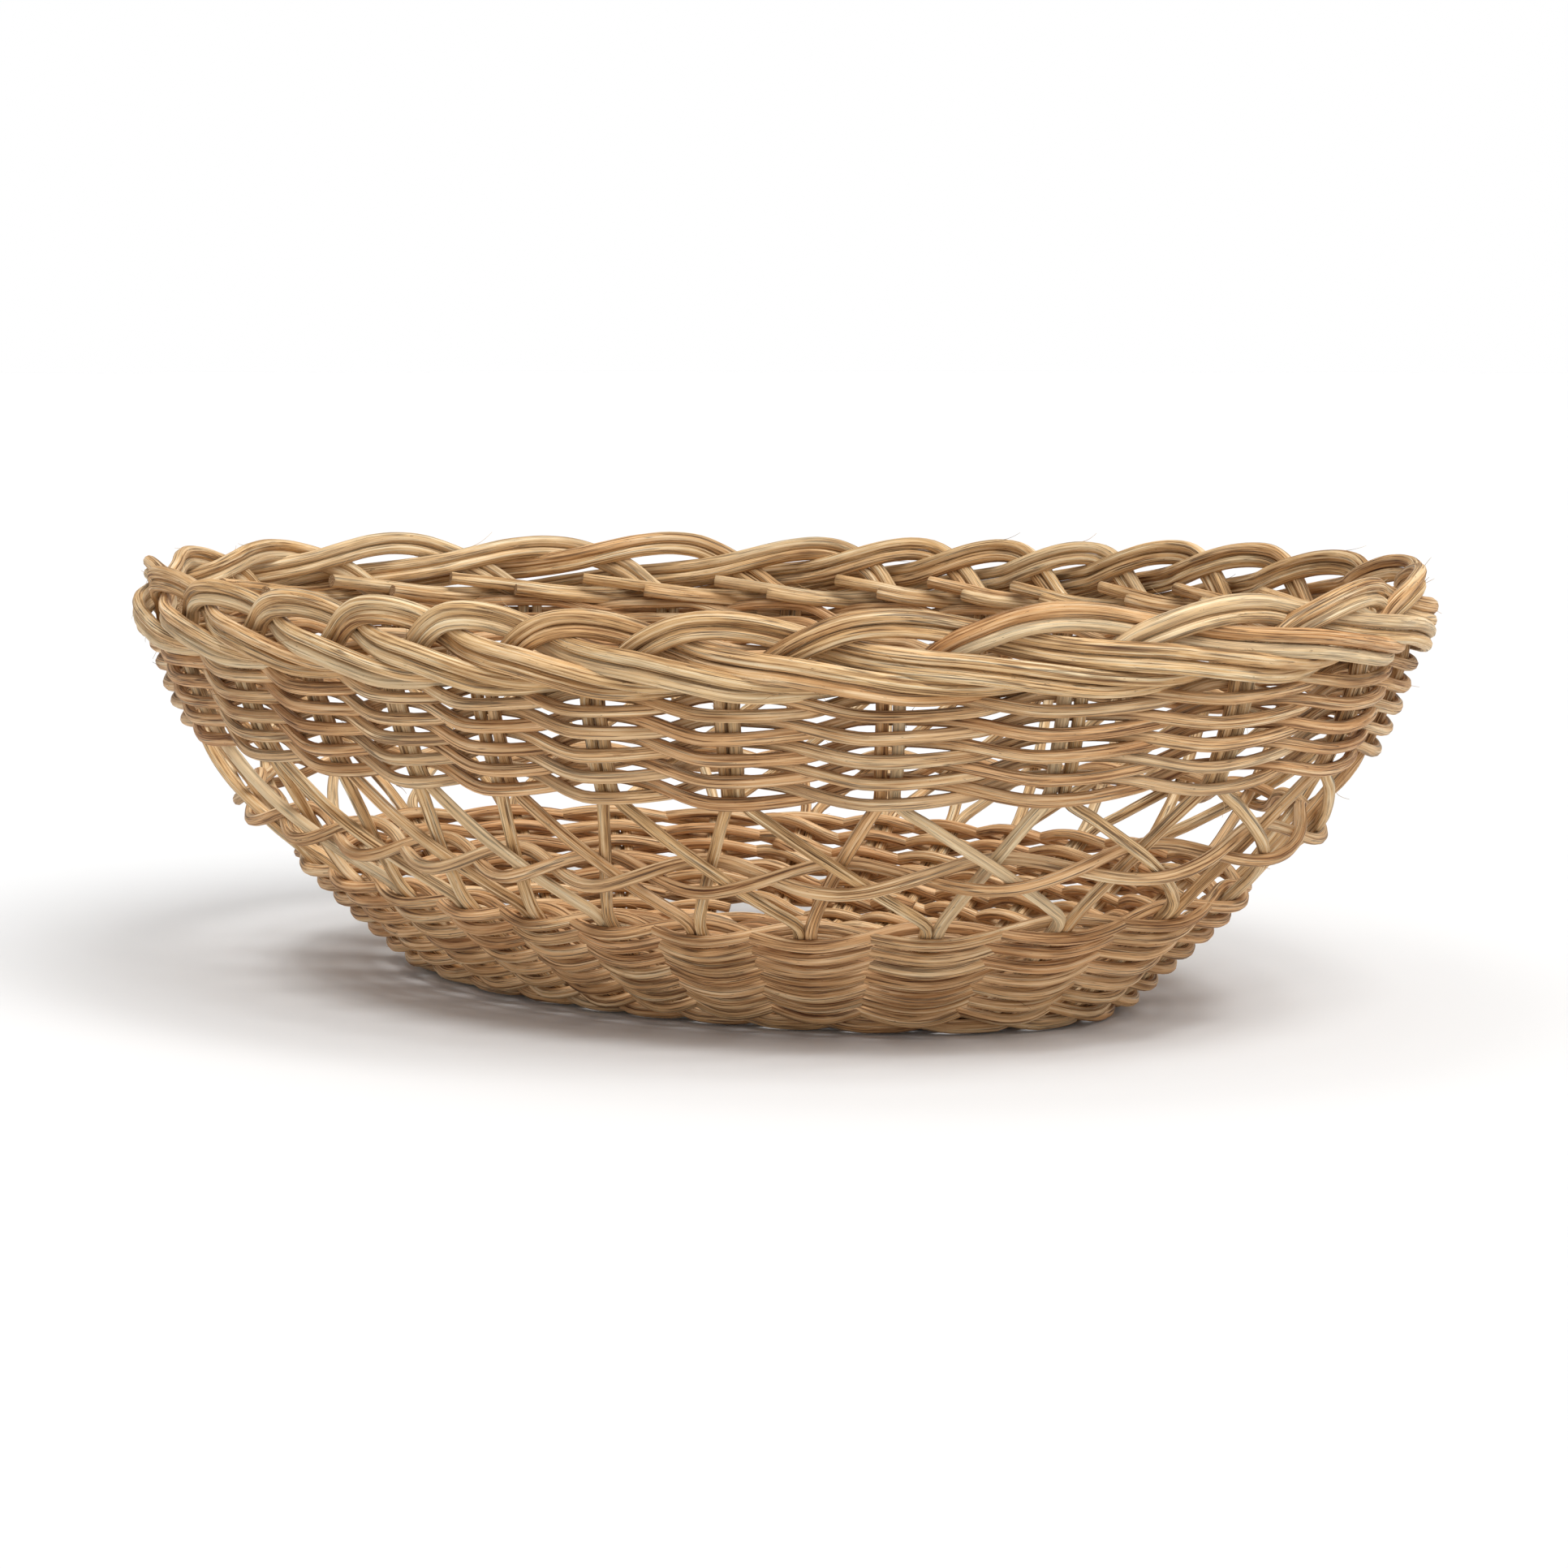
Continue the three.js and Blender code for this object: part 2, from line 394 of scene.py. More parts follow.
class Nodes:
    """A material's node tree, with short calls for the nodes that the reed needs."""

    def __init__(self, name):
        self.material = bpy.data.materials.new(name)
        self.material.use_nodes = True
        self.tree = self.material.node_tree
        self.shader = self.tree.nodes["Principled BSDF"]

    def link(self, output, socket):
        self.tree.links.new(output, socket)

    def attribute(self, name, output):
        node = self.tree.nodes.new("ShaderNodeAttribute")
        node.attribute_name = name
        return node.outputs[output]

    def noise(self, vector, along, across, detail=3.0, roughness=0.6):
        """Noise over the rod coordinates, with its features per millimetre along the reed and across it."""
        mapping = self.tree.nodes.new("ShaderNodeMapping")
        mapping.inputs["Scale"].default_value = (along, across, across)
        self.link(vector, mapping.inputs["Vector"])
        noise = self.tree.nodes.new("ShaderNodeTexNoise")
        noise.inputs["Scale"].default_value = 1.0
        noise.inputs["Detail"].default_value = detail
        noise.inputs["Roughness"].default_value = roughness
        self.link(mapping.outputs["Vector"], noise.inputs["Vector"])
        return noise.outputs["Fac"]

    def ramp(self, factor, stops):
        ramp = self.tree.nodes.new("ShaderNodeValToRGB")
        elements = ramp.color_ramp.elements
        while len(elements) < len(stops):
            elements.new(0.5)
        for element, (position, colour) in zip(elements, stops):
            element.position = position
            element.color = colour
        self.link(factor, ramp.inputs["Fac"])
        return ramp.outputs["Color"]

    def math(self, operation, first, second=0.0, clamp=False):
        node = self.tree.nodes.new("ShaderNodeMath")
        node.operation = operation
        node.use_clamp = clamp
        for socket, value in zip(node.inputs, (first, second)):
            self.feed(socket, value)
        return node.outputs["Value"]

    def feed(self, socket, value):
        """Sets a socket to a number or colour, or links an output to it."""
        if isinstance(value, (int, float, tuple)):
            socket.default_value = value
        else:
            self.link(value, socket)

    def mix(self, factor, first, second, blend="MIX"):
        node = self.tree.nodes.new("ShaderNodeMix")
        node.data_type = "RGBA"
        node.blend_type = blend
        for key, value in (("Factor", factor), ("A", first), ("B", second)):
            socket = next(socket for socket in node.inputs if socket.name == key and socket.enabled)
            self.feed(socket, value)
        return next(socket for socket in node.outputs if socket.enabled)

    def bump(self, height, strength, distance, normal=None):
        """Bump of a given depth in millimetres, on top of an earlier bump."""
        node = self.tree.nodes.new("ShaderNodeBump")
        node.inputs["Strength"].default_value = strength
        node.inputs["Distance"].default_value = distance * MM
        self.link(height, node.inputs["Height"])
        if normal is not None:
            self.link(normal, node.inputs["Normal"])
        return node.outputs["Normal"]


def groove_masks(nodes, rod):
    """Masks of the main grooves and of the fine ones, each 0 in a groove and 1 away from it.

    A groove runs wherever a slow noise passes through its middle value. A second noise opens and closes it.
    """
    breaks = nodes.noise(rod, 0.09, 0.9, detail=2.0)
    width = nodes.math("MULTIPLY", nodes.math("SUBTRACT", breaks, 0.36, clamp=True), 0.16)
    main_ridges = nodes.noise(rod, 0.012, 1.05, detail=2.0, roughness=0.55)
    fine_ridges = nodes.noise(rod, 0.02, 2.3, detail=1.0)
    masks = []
    for ridges, narrowest in ((main_ridges, 0.004), (fine_ridges, 0.002)):
        from_line = nodes.math("ABSOLUTE", nodes.math("SUBTRACT", ridges, 0.5))
        masks.append(nodes.math("DIVIDE", from_line, nodes.math("ADD", width, narrowest), clamp=True))
    return masks


def grooved(nodes, colour, mask, strength):
    factor = nodes.math("MULTIPLY", nodes.math("SUBTRACT", 1.0, mask), strength)
    return nodes.mix(factor, colour, srgb(66, 38, 20))


def patchy(nodes, colour, rod):
    """Duller stretches along a rod."""
    patches = nodes.noise(rod, 0.04, 0.25)
    stops = [(0.33, srgb(200, 183, 160)), (0.5, srgb(243, 240, 234)), (0.66, grey(1.0))]
    return nodes.mix(0.8, colour, nodes.ramp(patches, stops), "MULTIPLY")


def toned(nodes, colour):
    """Some rods redder than the rest and some paler, by the tone of each."""
    tone = nodes.attribute("tone", "Fac")
    redder = nodes.mix(1.0, colour, srgb(240, 212, 190), "MULTIPLY")
    deep = nodes.math("MULTIPLY", nodes.math("ADD", tone, 0.3), 0.24, clamp=True)
    colour = nodes.mix(deep, colour, redder)
    pale = nodes.math("MULTIPLY", nodes.math("SUBTRACT", -0.4, tone), 0.2, clamp=True)
    return nodes.mix(pale, colour, srgb(226, 206, 170))


def flecked(nodes, colour, rod, strength):
    flecks = nodes.noise(rod, 0.42, 2.1, roughness=0.7)
    spots = nodes.math("GREATER_THAN", flecks, 0.69)
    return nodes.mix(nodes.math("MULTIPLY", spots, strength), colour, srgb(78, 50, 31))


def reed_material(name, dark, middle, light, wear):
    """Peeled reed: fine dark grooves along the rod, paler and darker fibres, flecks and a satin sheen."""
    nodes = Nodes(name)
    rod = nodes.attribute("rod", "Vector")
    fibres = nodes.noise(rod, 0.03, 1.5, detail=4.0, roughness=0.7)
    smooth, fine_smooth = groove_masks(nodes, rod)
    colour = nodes.ramp(fibres, [(0.31, dark), (0.47, middle), (0.68, light)])
    colour = grooved(nodes, colour, smooth, 0.8)
    colour = grooved(nodes, colour, fine_smooth, 0.42)
    colour = patchy(nodes, colour, rod)
    colour = toned(nodes, colour)
    colour = flecked(nodes, colour, rod, wear)
    nodes.link(colour, nodes.shader.inputs["Base Color"])
    rough = nodes.ramp(fibres, [(0.3, grey(0.78)), (0.7, grey(0.5))])
    nodes.link(rough, nodes.shader.inputs["Roughness"])
    normal = nodes.bump(fibres, 0.5, 0.3)
    normal = nodes.bump(smooth, 0.8, 0.16, normal)
    normal = nodes.bump(fine_smooth, 0.6, 0.08, normal)
    nodes.link(normal, nodes.shader.inputs["Normal"])
    nodes.shader.inputs["Specular IOR Level"].default_value = 0.36
    return nodes.material


def cut_end_material():
    """The open pith at a cut end."""
    nodes = Nodes("reed_cut_end")
    rod = nodes.attribute("rod", "Vector")
    pores = nodes.noise(rod, 0.5, 3.2)
    stops = [(0.36, srgb(92, 62, 40)), (0.52, srgb(176, 142, 102)), (0.7, srgb(214, 188, 150))]
    colour = nodes.ramp(pores, stops)
    nodes.link(colour, nodes.shader.inputs["Base Color"])
    nodes.link(nodes.bump(pores, 0.8, 0.4), nodes.shader.inputs["Normal"])
    nodes.shader.inputs["Roughness"].default_value = 0.85
    return nodes.material


def make_materials():
    """Each kind of reed's materials: its side and its cut end."""
    cut = cut_end_material()
    shades = {
        "stakes": (srgb(112, 70, 36), srgb(223, 182, 128), srgb(250, 233, 198), 0.7),
        "weavers": (srgb(106, 65, 34), srgb(216, 171, 120), srgb(247, 222, 182), 0.65),
        "base": (srgb(104, 70, 42), srgb(174, 132, 88), srgb(210, 176, 132), 0.5),
    }
    return {kind: [reed_material(f"reed_{kind}", *shade), cut] for kind, shade in shades.items()}


# ---- Stakes and border ----

LOWER_SPREAD = 1.6  # half the distance between the two rods at a column of the lower band
UPPER_SPREAD = 1.6  # and in the upper band
SPREAD_RANGE = (0.72, 1.28)  # least and most of a pair's own spread in the upper band, as a share of that
BASE_LEVEL = 3.6  # height of the woven bottom's mid-plane

# Knots of a stake: insets of its lower end from the foot's mid-surface, the number along each band, how far
# they keep from the lower band's bottom and the upper band's top, and shares of the way up the openwork.
STAKE_KNOTS = {
    "insets": (22, 11, 3),
    "lower_band": {"count": 5, "margin": 2.5},
    "openwork": (0.16, 0.33, 0.5, 0.67, 0.84),
    "upper_band": {"count": 4, "margin": 2},
}
CROSSING_CLEARANCE = 1.6  # how far a rod stands off the mid-surface where it crosses another
OPENWORK_BEND = 0.15  # how much of a stake's way across the openwork bends in an S, and isn't straight
OPENWORK_WANDER = 0.4  # how far a stake strays sideways there

# A rod grows to its thickness in the border from this far below the top of the upper band, over this height.
GROWTH = {"below": 6, "height": 8}

# One pair's way through the border: places on from where it leaves the upper band, height above the top of
# the upper band, and offset outwards. It climbs behind the pairs that come down, arches over, passes inside
# the next arch, comes out under it, runs down outside the next two climbs, and tucks in under the border.
BORDER_ROUTE = [
    (0.00, -0.6, -0.2),
    (0.13, 4.1, -0.6),
    (0.30, 10.2, -0.4),
    (0.50, 13.9, 1.2),
    (0.70, 16.2, 2.0),
    (0.90, 16.9, 1.4),
    (1.12, 16.3, -0.2),
    (1.40, 14.0, -2.0),
    (1.62, 11.9, -1.4),
    (1.85, 10.3, 1.6),
    (2.12, 9.2, 4.2),
    (2.40, 8.1, 5.2),
    (2.75, 6.0, 5.3),
    (3.10, 3.8, 4.8),
    (3.35, 2.5, 3.4),
    (3.62, 1.9, 0.2),
    (3.85, 2.2, -2.6),
    (4.15, 3.6, -4.0),
    (4.60, 5.8, -4.3),
]
PAIR_STEP = 3.1  # between the two rods of a pair in the border
BORDER_WANDER = (0.35, 0.03)  # how far a pair strays from the route, upwards and in places
TAIL_ROLL = math.radians(60)  # how far a pair turns its lower rod inwards as it tucks in
# Where a pair lies one rod under the other, how soon after that it strays the most, and where it starts to
# roll and how soon it has rolled, all in places along the route.
ROUTE_PLACES = {"settled": 0.3, "stray_length": 0.5, "roll_start": 2.9, "roll_length": 0.7}


def moved_along(place, half_length, half_width, distance):
    """A place moved by a distance round the oval."""
    nudge = 0.05
    ahead = round_oval(place + nudge, half_length, half_width, 0.0)
    behind = round_oval(place - nudge, half_length, half_width, 0.0)
    reach = np.linalg.norm(ahead - behind, axis=-1) / (2 * nudge)
    return place + distance / reach


def stake_path(pair, kind, rng):
    """The whole centre line of a stake: from inside the bottom, up the wall and along the border."""
    upright = kind == "upright"
    lower = pair + COLUMN_SHIFT + (0 if upright else SLANT_REACH)
    lower_side = 1 if upright else -1
    outward = -1 if upright else 1
    rows = []

    def add(place, half_length, half_width, z, sideways):
        moved = moved_along(place, half_length, half_width, sideways)
        rows.append(round_oval(moved, half_length, half_width, z))

    for inset in STAKE_KNOTS["insets"]:
        add(lower, FOOT_HALF_LENGTH - inset, FOOT_HALF_WIDTH - inset, BASE_LEVEL, lower_side * LOWER_SPREAD)
    knots = STAKE_KNOTS["lower_band"]
    for height in np.linspace(LOWER_BOTTOM + knots["margin"], LOWER_TOP, knots["count"]):
        add(lower, *wall_section(height), lower_side * LOWER_SPREAD)
    wander = rng.normal(0, OPENWORK_WANDER)
    upper_spread = pair_rng(pair).uniform(*SPREAD_RANGE) * UPPER_SPREAD
    for share in STAKE_KNOTS["openwork"]:
        height = LOWER_TOP + (UPPER_BOTTOM - LOWER_TOP) * share
        across = (1 - OPENWORK_BEND) * share + OPENWORK_BEND * smooth_step(share)
        place = lower + (pair - lower) * across
        swell = math.sin(math.pi * share)
        spread = lower_side * ((1 - share) * LOWER_SPREAD - share * upper_spread)
        add(place, *wall_section(height, outward * CROSSING_CLEARANCE * swell), spread + wander * swell)
    knots = STAKE_KNOTS["upper_band"]
    for height in np.linspace(UPPER_BOTTOM, UPPER_TOP - knots["margin"], knots["count"]):
        add(pair, *wall_section(height), -lower_side * upper_spread)
    rows += border_rows(pair, upright, upper_spread)
    return through(rows)


def pair_rng(pair):
    """Random numbers that both rods of a pair share."""
    return np.random.default_rng([SEED, SEEDS["pair"] + pair])


def border_rows(pair, is_upper, spread):
    """Knots of one rod along the border's route. The upright is the upper rod of its pair."""
    route = np.array(BORDER_ROUTE)
    pitch = math.pi * (RIM_HALF_LENGTH + RIM_HALF_WIDTH) / PAIRS
    travel = np.gradient(route[:, 0]) * pitch
    climb = np.gradient(route[:, 1])
    length = np.hypot(travel, climb)
    gap = 0.0 if is_upper else PAIR_STEP
    side = -1 if is_upper else 1
    lift, late = pair_rng(pair).normal(0, 1, 2) * BORDER_WANDER
    rows = []
    for index, (ahead, up, offset) in enumerate(route):
        settled = min(1.0, ahead / ROUTE_PLACES["settled"])
        roll = TAIL_ROLL * smooth_step((ahead - ROUTE_PLACES["roll_start"]) / ROUTE_PLACES["roll_length"])
        beside = gap * math.cos(roll) * settled
        along = beside * climb[index] / length[index] + (1 - settled) * side * spread
        below = beside * travel[index] / length[index]
        lifted = lift * smooth_step((ahead - ROUTE_PLACES["settled"]) / ROUTE_PLACES["stray_length"])
        height = UPPER_TOP + up + lifted - below
        half_length, half_width, z = wall_section(height, offset - gap * math.sin(roll))
        place = moved_along(pair + ahead + late * settled, half_length, half_width, along)
        rows.append(round_oval(place, half_length, half_width, z))
    return rows if is_upper else rows[:-1]


def make_stakes(materials):
    for kind, names in (("upright", UPRIGHTS), ("slant", SLANTS)):
        for pair, node in enumerate(names):
            piece = Piece(f"{kind}_rod_{pair + 1:02d}", SEEDS[kind] + pair)
            points = stake_path(pair, kind, piece.rng)
            grown = smooth_step((points[:, 2] - UPPER_TOP + GROWTH["below"]) / GROWTH["height"])
            radii = REED["stake"] + (REED["border"] - REED["stake"]) * np.maximum.accumulate(grown)
            piece.add(points, radii)
            piece.add_fibres(points[len(points) // 3:], REED["border"], FIBRE_COUNT["stake"])
            piece.build([node, "rolled_border"], materials["stakes"])


# ---- Weaving ----

# The rows of a band: how many, and how far the lowest and the highest lie inside the band's edges.
LOWER_ROWS = {"count": 7, "margins": (2.4, 2.7)}
UPPER_ROWS = {"count": 5, "margins": (2.1, 2.3)}
SEAM_PLACE = 8.0  # where the rows step up, at the back
SEAM_WIDTH = 1.0  # in places
STROKE_REACH = 2.9  # how far a strand of a band swings out from the mid-surface
WEAVER_LENGTHS = (20, 30)  # the shortest and longest piece of weaving reed, in pairs of places
SHORTEST_END = 12  # a last piece shorter than this, in places, is joined to the one before

# Places from one sample of a woven rod's path to the next.
SAMPLE_STEP = {"weaver": 0.04, "round": 0.05, "base": 0.08}
# How a woven rod wanders up and down: over about how many places, and how far.
WANDER = {"weaver": (3.1, 0.3), "crossing_row": (4.3, 0.5), "foot_wale": (5, 0.2), "base": (4, 0.15)}
THICKNESS_RANGE = (0.95, 1.06)  # least and most of one weaver's thickness, as a share of the usual
ROUND_OVERLAP = 0.4  # how far a rod that goes round once runs past the seam, in places

# How the ends of a weaver tuck in: how far they run on, in places, how far inwards they turn, and how far the
# first end drops and the last one climbs.
TUCK = {"run": 0.32, "inwards": 1.3, "rise": 0.9}

# How a stroke of pairing drops along the wall as it comes out and climbs as it goes in: its whole drop, then
# where the drop and the climb start and how long they take, in places from the stake that it passes outside,
# and how far before that stake it stands out the most. The lower band's drop is small and turned round, since
# the wall leans so far there that a stroke already comes down by standing out.
UPPER_STROKE = {"swing": 2.4, "drop": (-0.72, 0.62), "climb": (0.46, 0.4), "lead": 0.05}
LOWER_STROKE = {"swing": -0.6, "drop": (-0.9, 0.8), "climb": (0.1, 0.8), "lead": -0.05}


def paired_strand(place, column, stroke):
    """Offset and rise of a strand of pairing, which passes outside every second stake from its column."""
    ahead = (place - column + 1) % 2 - 1
    offset = STROKE_REACH * np.cos(math.pi * (ahead + stroke["lead"]))
    drop_start, drop_length = stroke["drop"]
    climb_start, climb_length = stroke["climb"]
    dropped = smooth_step((ahead - drop_start) / drop_length)
    climbed = smooth_step((ahead - climb_start) / climb_length)
    return offset, stroke["swing"] * (0.5 - dropped + climbed)


def row_heights(place, heights):
    """Level rows that step up to the next one at the seam."""
    turn = (np.clip(place, SEAM_PLACE, None) - SEAM_PLACE) / PAIRS
    row = np.floor(turn)
    width = SEAM_WIDTH / PAIRS
    climbed = row + smooth_step((turn - row - 1 + width) / width)
    return np.interp(climbed, np.arange(len(heights)), heights)


def make_weaver(piece, start, stop, column, heights, stroke):
    """One length of reed in a band. Both its ends tuck in behind the wall."""
    place = np.arange(start - TUCK["run"], stop + TUCK["run"], SAMPLE_STEP["weaver"])
    offset, rise = paired_strand(place, column, stroke)
    head = 1 - smooth_step((place - place[0]) / (2 * TUCK["run"]))
    tail = 1 - smooth_step((place[-1] - place) / (2 * TUCK["run"]))
    offset = offset - TUCK["inwards"] * (head + tail)
    rise = rise + TUCK["rise"] * (tail - head) + slow_noise(place, piece.rng, *WANDER["weaver"])
    points = on_wall(place, row_heights(place, heights), offset, rise)
    piece.add(points, REED["weaver"] * piece.rng.uniform(*THICKNESS_RANGE))
    piece.add_fibres(points, REED["weaver"], len(points) // SAMPLES_PER_FIBRE)


def make_band(name, heights, column, stroke, materials):
    """A band of pairing: two strands that swap sides at each stake, joined from shorter lengths of reed."""
    nodes = [f"{name}_outer_weave", f"{name}_inner_weave"]
    total = PAIRS * len(heights) - SEAM_WIDTH
    number = 0
    for strand in (0, 1):
        planner = np.random.default_rng([SEED, SEEDS[name], strand])
        inside = column + strand + 1
        first = inside + 2 * math.ceil((SEAM_PLACE - inside) / 2)
        done = 0.0
        while done < total:
            stop = done + 2 * round(planner.uniform(*WEAVER_LENGTHS))
            if total - stop < SHORTEST_END:
                stop = total
            number += 1
            piece = Piece(f"{name}_weaver_{number:02d}", SEEDS[name] + number)
            make_weaver(piece, first + done, first + stop, column + strand, heights, stroke)
            piece.build(nodes, materials["weavers"])
            done = stop


def row_levels(bottom, top, rows):
    """The heights of a band's rows, from its lowest to its highest."""
    above_bottom, below_top = rows["margins"]
    return np.linspace(bottom + above_bottom, top - below_top, rows["count"])


def make_bands(materials):
    upper = row_levels(UPPER_BOTTOM, UPPER_TOP, UPPER_ROWS)
    lower = row_levels(LOWER_BOTTOM, LOWER_TOP, LOWER_ROWS)
    make_band("upper_band", upper, 0.0, UPPER_STROKE, materials)
    make_band("lower_band", lower, COLUMN_SHIFT, LOWER_STROKE, materials)


# The crossing row: how far a strand swings out, how far it lies below the CAD's row, how far it moves up and
# down as it goes in and out, and how much higher and how much later, in places, it runs at the +X end.
CROSSING = {"reach": 4.3, "below": 1.5, "swing": 0.8, "end_rise": 2.4, "end_delay": 0.2}


def once_round():
    """Places all the way round from the seam, with a short overlap."""
    start = SEAM_PLACE - ROUND_OVERLAP
    stop = SEAM_PLACE + PAIRS + ROUND_OVERLAP
    return np.arange(start, stop, SAMPLE_STEP["round"])


def make_crossing_row(materials):
    """Two strands paired round the crossings in the open stretch, a little higher towards the +X end."""
    share = (CROSSING_HEIGHT - LOWER_TOP) / (UPPER_BOTTOM - LOWER_TOP)
    column = COLUMN_SHIFT * (1 - share)
    nodes = ["crossing_row_outer_strand", "crossing_row_inner_strand"]
    for strand in (0, 1):
        piece = Piece(f"crossing_row_strand_{strand + 1}", SEEDS["crossing_row"] + strand)
        place = once_round()
        near_end = np.clip(np.cos(angle_at(place)), 0, None) ** 2
        turn = math.pi * (place - column - strand - CROSSING["end_delay"] * near_end)
        rise = CROSSING["swing"] * (np.sin(turn) - np.cos(turn)) + CROSSING["end_rise"] * near_end
        rise += slow_noise(place, piece.rng, *WANDER["crossing_row"])
        height = CROSSING_HEIGHT - CROSSING["below"]
        points = on_wall(place, height, CROSSING["reach"] * np.cos(turn), rise)
        piece.add(points, REED["weaver"])
        piece.add_fibres(points, REED["weaver"], FIBRE_COUNT["crossing_row"])
        piece.build(nodes, materials["weavers"])


# The wale: how much thicker its reed is than the weavers, where its middle lies and how far its strands swing
# from it, outwards from the foot's mid-surface and up, how far in radians the lowest point of a strand comes
# after its outermost one, and how far it stays off the table.
WALE = {
    "thicker": 1.08,
    "outwards": 3.0,
    "reach": 2.9,
    "height": 3.8,
    "swing": 2.2,
    "lag": 0.5,
    "clearance": 0.25,
}


def make_foot_wale(materials):
    """Three strands twisted like a rope round the turn of the foot, outside two stakes and inside one."""
    nodes = ["lower_band_outer_weave", "lower_band_inner_weave"]
    radius = REED["weaver"] * WALE["thicker"]
    for strand in range(3):
        piece = Piece(f"foot_wale_strand_{strand + 1}", SEEDS["foot_wale"] + strand)
        place = once_round()
        turn = 2 * math.pi * (place - COLUMN_SHIFT - strand - 0.5) / 3
        outwards = WALE["outwards"] + WALE["reach"] * np.cos(turn)
        z = WALE["height"] - WALE["swing"] * np.cos(turn - WALE["lag"])
        z = z + slow_noise(place, piece.rng, *WANDER["foot_wale"])
        z = np.clip(z, radius + WALE["clearance"], None)
        points = round_oval(place, FOOT_HALF_LENGTH + outwards, FOOT_HALF_WIDTH + outwards, z)
        piece.add(points, radius)
        piece.build(nodes, materials["weavers"])


# ---- The woven bottom ----

LONG_STICKS = 4
STICK_INSET = 5  # from the foot's mid-surface to the ends of the sticks
# How far each kind of stick is drawn in towards the middle of the bottom, in shares of its ends' x and y, and
# how far it lies above the bottom's mid-plane there.
STICK_CORE = {"long": ((0.62, 0.28, 1), 1.4), "short": ((0.56, 0.24, 1), -1.4)}
BASE_RINGS = 15
BASE_WEAVE_INSET = 1.5  # from the foot's mid-surface to the outermost ring of the bottom
BASE_CORE = {"half_length": 50, "half_width": 5.5}  # the crossed sticks that the rings start from
BASE_STROKE = {"up": 1.9, "outwards": 1.2}  # how far a strand of the bottom swings
BASE_OVERLAP = 0.3  # of the two ends of a strand of the bottom, in places
LOWEST_REED = 1.4  # the lowest centre line of a strand, which keeps it just off the table


def make_base_sticks(materials):
    """Sticks that join opposite columns of the wall: long ones along the bottom, short ones under them."""
    half = PAIRS // 2
    first_long = 1 - LONG_STICKS // 2
    first_short = first_long + LONG_STICKS
    sticks = [("long", column, half + 1 - column) for column in range(first_long, first_short)]
    sticks += [("short", column, 1 - column) for column in range(first_short, half - first_long)]
    edge = (FOOT_HALF_LENGTH - STICK_INSET, FOOT_HALF_WIDTH - STICK_INSET, BASE_LEVEL)
    for number, (kind, start, end) in enumerate(sticks):
        ends = [round_oval(column + COLUMN_SHIFT, *edge) for column in (start, end)]
        squeeze, level = STICK_CORE[kind]
        core = [point * squeeze + (0, 0, level) for point in ends]
        piece = Piece(f"base_{kind}_stick_{number + 1:02d}", SEEDS["base_sticks"] + number)
        piece.add(through([ends[0], *core, ends[1]]), REED["base"])
        piece.build(["woven_base"], materials["base"])


def make_base_strand(number, strand, half_length, half_width, materials):
    """One strand of a ring of pairing in the bottom."""
    piece = Piece(f"base_weaver_{number:02d}", SEEDS["base_weave"] + number)
    place = np.arange(0, PAIRS + BASE_OVERLAP, SAMPLE_STEP["base"])
    turn = math.pi * (place - COLUMN_SHIFT - strand)
    z = BASE_LEVEL - BASE_STROKE["up"] * np.cos(turn) + slow_noise(place, piece.rng, *WANDER["base"])
    outwards = BASE_STROKE["outwards"] * np.sin(turn)
    z = np.clip(z, LOWEST_REED, None)
    piece.add(round_oval(place, half_length + outwards, half_width + outwards, z), REED["base"], sides=8)
    piece.build(["woven_base"], materials["base"])


def make_base_weave(materials):
    """Pairing in flat ovals round the crossed sticks, out to the foot."""
    outer = (FOOT_HALF_LENGTH - BASE_WEAVE_INSET, FOOT_HALF_WIDTH - BASE_WEAVE_INSET)
    for ring in range(BASE_RINGS):
        share = ring / (BASE_RINGS - 1)
        half_length = BASE_CORE["half_length"] + (outer[0] - BASE_CORE["half_length"]) * share
        half_width = BASE_CORE["half_width"] + (outer[1] - BASE_CORE["half_width"]) * share
        for strand in (0, 1):
            make_base_strand(2 * ring + strand + 1, strand, half_length, half_width, materials)


# ---- Stage, lights and camera ----

FLOOR = {"radius": 8, "z": -0.0002}  # in metres
# A lamp's bearing from the camera and its elevation in degrees, its strength, and its width in degrees.
LIGHTS = {"key_light": (38, 56, 2.25, 42), "top_light": (-20, 80, 1.2, 60)}


def make_floor():
    place = (0, 0, FLOOR["z"])
    bpy.ops.mesh.primitive_circle_add(vertices=96, radius=FLOOR["radius"], fill_type="NGON", location=place)
    floor = bpy.context.object
    floor.name = "floor"
    nodes = Nodes("pale_floor")
    nodes.shader.inputs["Base Color"].default_value = grey(0.8)
    nodes.shader.inputs["Roughness"].default_value = 0.95
    nodes.shader.inputs["Specular IOR Level"].default_value = 0.05
    floor.data.materials.append(nodes.material)


def place_and_aim(thing, azimuth, elevation, distance, target):
    """Puts a camera or lamp at a bearing and distance from a target, facing it."""
    turn, tilt = math.radians(azimuth), math.radians(elevation)
    back = Vector((math.sin(turn) * math.cos(tilt), -math.cos(turn) * math.cos(tilt), math.sin(tilt)))
    thing.location = target + back * distance
    thing.rotation_euler = back.to_track_quat("Z", "Y").to_euler()


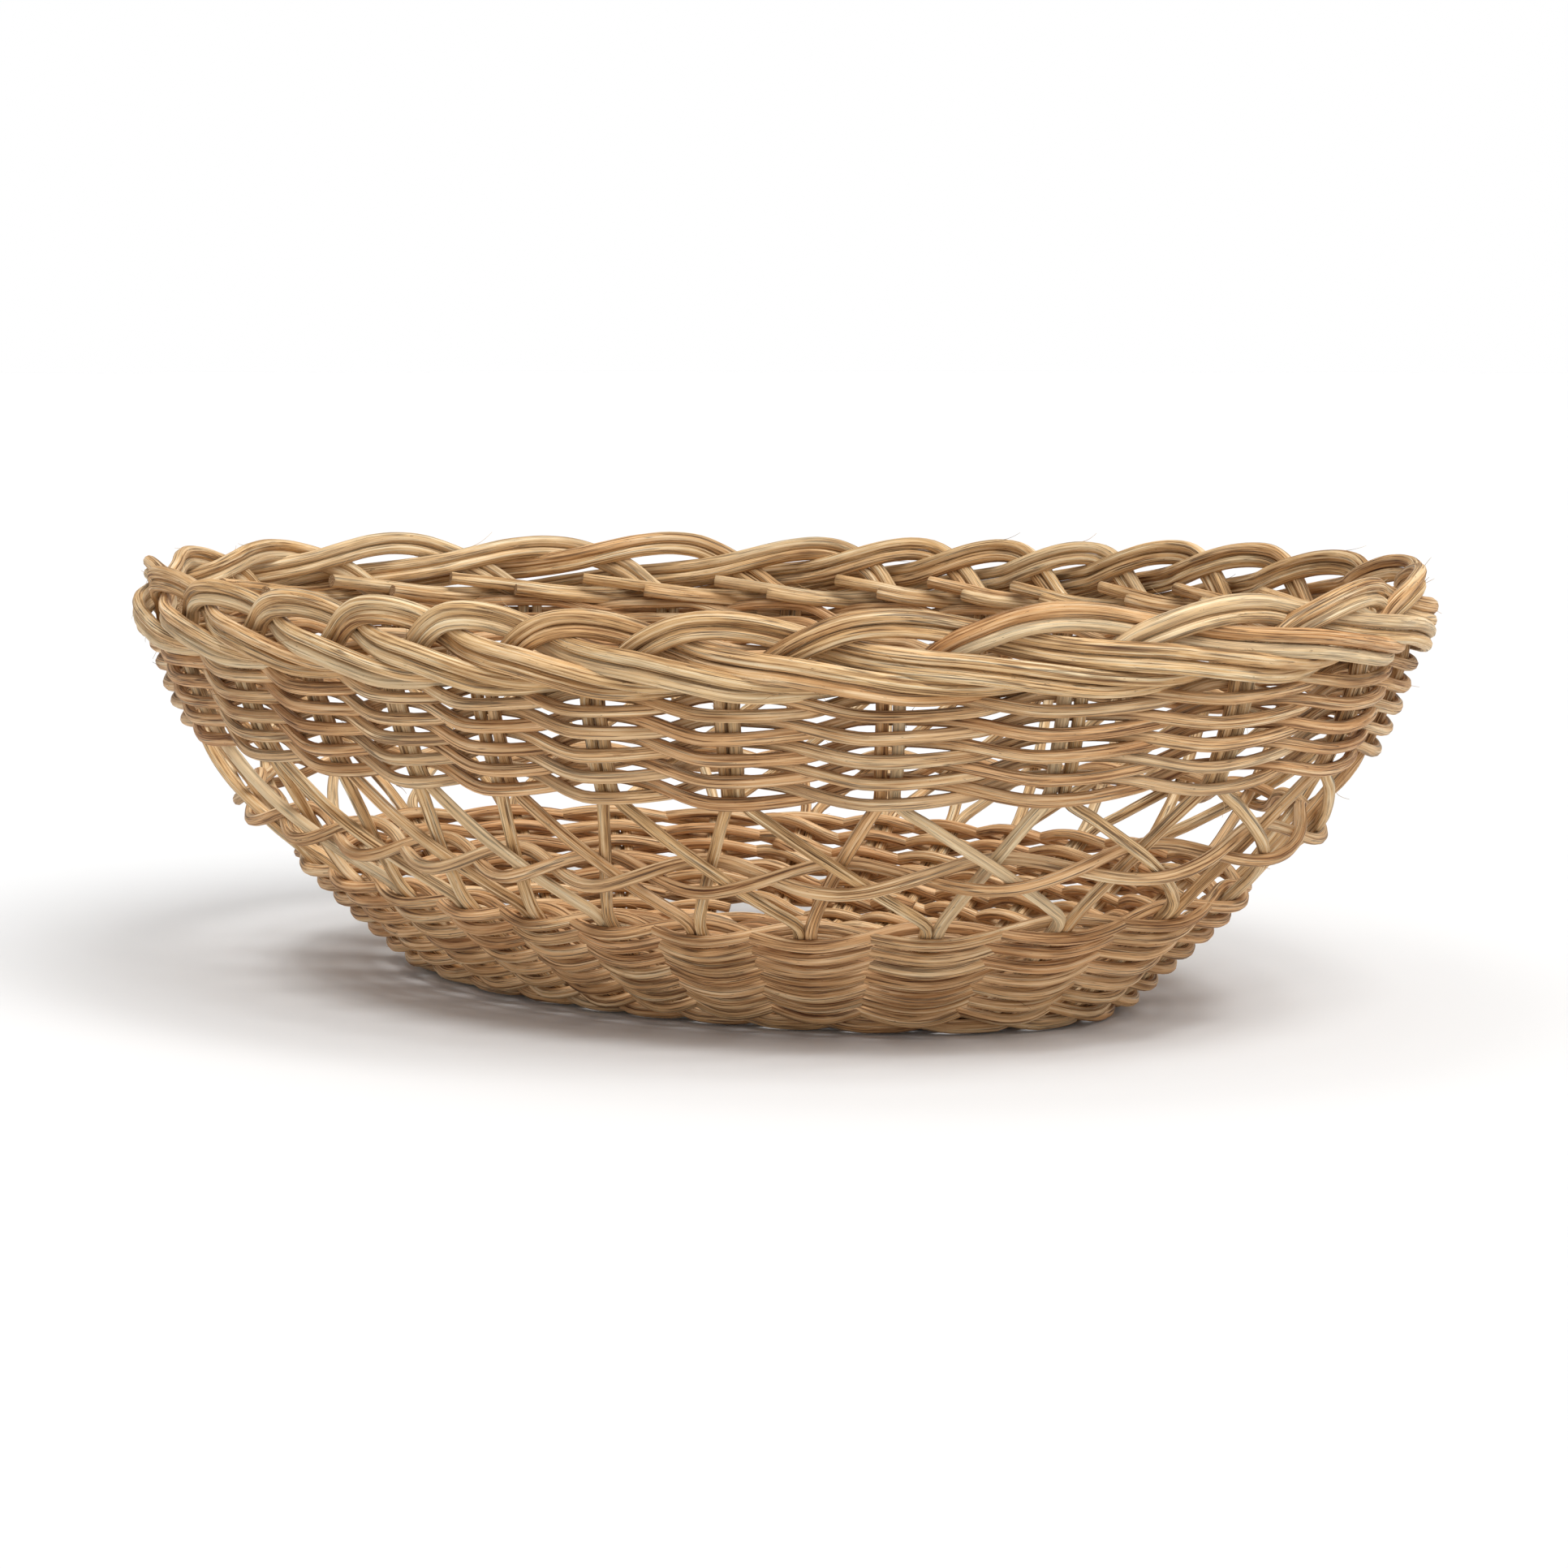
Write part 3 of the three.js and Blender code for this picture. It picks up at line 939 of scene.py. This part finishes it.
def add_soft_sun(name, azimuth, elevation, strength, width):
    """A large far softbox, as a sun lamp of a wide angle, which lights the floor evenly to the horizon."""
    light = bpy.data.lights.new(name, "SUN")
    light.energy = strength
    light.angle = math.radians(width)
    lamp = bpy.data.objects.new(name, light)
    bpy.context.scene.collection.objects.link(lamp)
    place_and_aim(lamp, azimuth, elevation, 2.0, Vector((0, 0, 0.05)))


def make_world():
    """A white backdrop up to a little above the horizon, and a dimmer ceiling above it."""
    world = bpy.data.worlds.new("studio")
    world.use_nodes = True
    tree = world.node_tree
    direction = tree.nodes.new("ShaderNodeTexCoord")
    split = tree.nodes.new("ShaderNodeSeparateXYZ")
    fade = tree.nodes.new("ShaderNodeMapRange")
    limits = {"From Min": 0.2, "From Max": 0.45, "To Min": 1.0, "To Max": 0.25}
    for name, value in limits.items():
        fade.inputs[name].default_value = value
    tree.links.new(direction.outputs["Generated"], split.inputs["Vector"])
    tree.links.new(split.outputs["Z"], fade.inputs["Value"])
    tree.links.new(fade.outputs["Result"], tree.nodes["Background"].inputs["Strength"])
    tree.nodes["Background"].inputs["Color"].default_value = grey(1.0)
    bpy.context.scene.world = world


def make_lights():
    make_world()
    for name, (bearing, elevation, strength, width) in LIGHTS.items():
        add_soft_sun(name, CAMERA["azimuth"] + bearing, elevation, strength, width)


def make_camera():
    low, high = (np.array(corner) for corner in CAD_BOUNDS)
    size = high - low
    middle = (low + high) / 2
    base = np.array((middle[0], middle[1], low[2]))
    target = Vector(base + np.array(TARGET_SHARE) * size)
    camera = bpy.data.cameras.new("camera")
    camera.lens = CAMERA["lens_mm"]
    camera.sensor_width = 36
    camera.clip_start = 0.01
    camera.clip_end = 50
    stand = bpy.data.objects.new("camera", camera)
    bpy.context.scene.collection.objects.link(stand)
    place_and_aim(stand, CAMERA["azimuth"], CAMERA["elevation"], CAMERA["distance"] * size[0], target)
    bpy.context.scene.camera = stand


bpy.context.scene.view_settings.view_transform = "Standard"
materials = make_materials()
make_stakes(materials)
make_bands(materials)
make_crossing_row(materials)
make_foot_wale(materials)
make_base_sticks(materials)
make_base_weave(materials)
make_floor()
make_lights()
make_camera()
